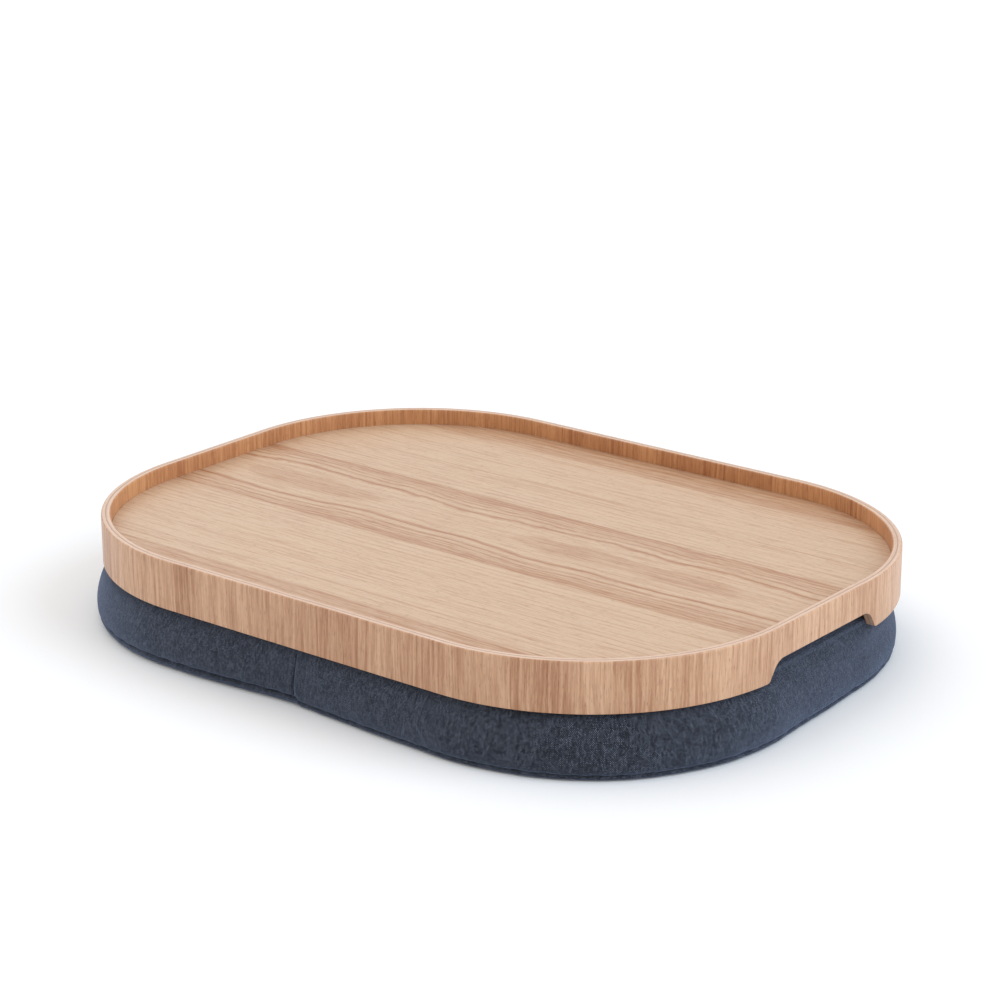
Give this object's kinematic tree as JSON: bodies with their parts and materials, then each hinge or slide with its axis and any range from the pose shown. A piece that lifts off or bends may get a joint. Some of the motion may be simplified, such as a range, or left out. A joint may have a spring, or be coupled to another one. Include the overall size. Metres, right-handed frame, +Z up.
{
  "type": "lap tray",
  "caption": "Lap tray with a bent laminated wood rim, recessed veneered panel, finger notches in both short ends and a detachable bead-filled fabric cushion underneath.",
  "frame": {"origin": "on the surface that the cushion stands on, under the middle of the tray", "axes": "+X along the long side, +Y towards the back where the zip is, +Z up through the tray"},
  "size_m": [0.4344, 0.3319, 0.06],
  "materials": {
    "rim_veneer": "satin",
    "panel_veneer": "satin",
    "ply": "satin",
    "cross_ply": "satin",
    "cover_fabric": "matte",
    "hook_tape": "matte",
    "zip_tape": "matte",
    "zip_teeth": "satin",
    "zip_metal": "satin",
    "liner_cloth": "matte",
    "beads": "matte"
  },
  "bodies": {
    "cushion": {"loop_pads": "hook_tape", "cover_top_panel": "cover_fabric", "cover_left_band": "cover_fabric", "cover_right_band": "cover_fabric", "cover_bottom_panel": "cover_fabric", "zip_band_lower": "cover_fabric", "zip_band_upper": "cover_fabric", "zip_tape_lower": "zip_tape", "zip_tape_upper": "zip_tape", "zip_teeth_lower": "zip_teeth", "zip_teeth_upper": "zip_teeth", "zip_stops": "zip_metal", "cushion_liner": "liner_cloth", "bead_filling": "beads"},
    "tray": {"rim_outer_veneer": "rim_veneer", "rim_outer_ply": "ply", "rim_cross_ply": "cross_ply", "rim_inner_ply": "ply", "rim_inner_veneer_upper": "rim_veneer", "rim_inner_veneer_lower": "rim_veneer", "panel_top_veneer": "panel_veneer", "panel_core": "ply", "panel_bottom_veneer": "panel_veneer", "hook_pads": "hook_tape"},
    "zip_slider": {"zip_slider": "zip_metal"},
    "zip_pull": {"zip_pull": "zip_metal"}
  },
  "joints": [
    {"name": "tray_lift", "type": "slide", "parent": "cushion", "child": "tray", "axis": [0, 0, 1], "range_m": [0, 0.12]},
    {"name": "zip_travel", "type": "slide", "parent": "cushion", "child": "zip_slider", "axis": [-1, 0, 0], "range_m": [0, 0.1591]},
    {"name": "pull_swing", "type": "hinge", "parent": "zip_slider", "child": "zip_pull", "pos_m": [0.07955, 0.16474, 0.01817], "axis": [0, 0.2165, -0.9763], "range_deg": [0, 170]}
  ]
}
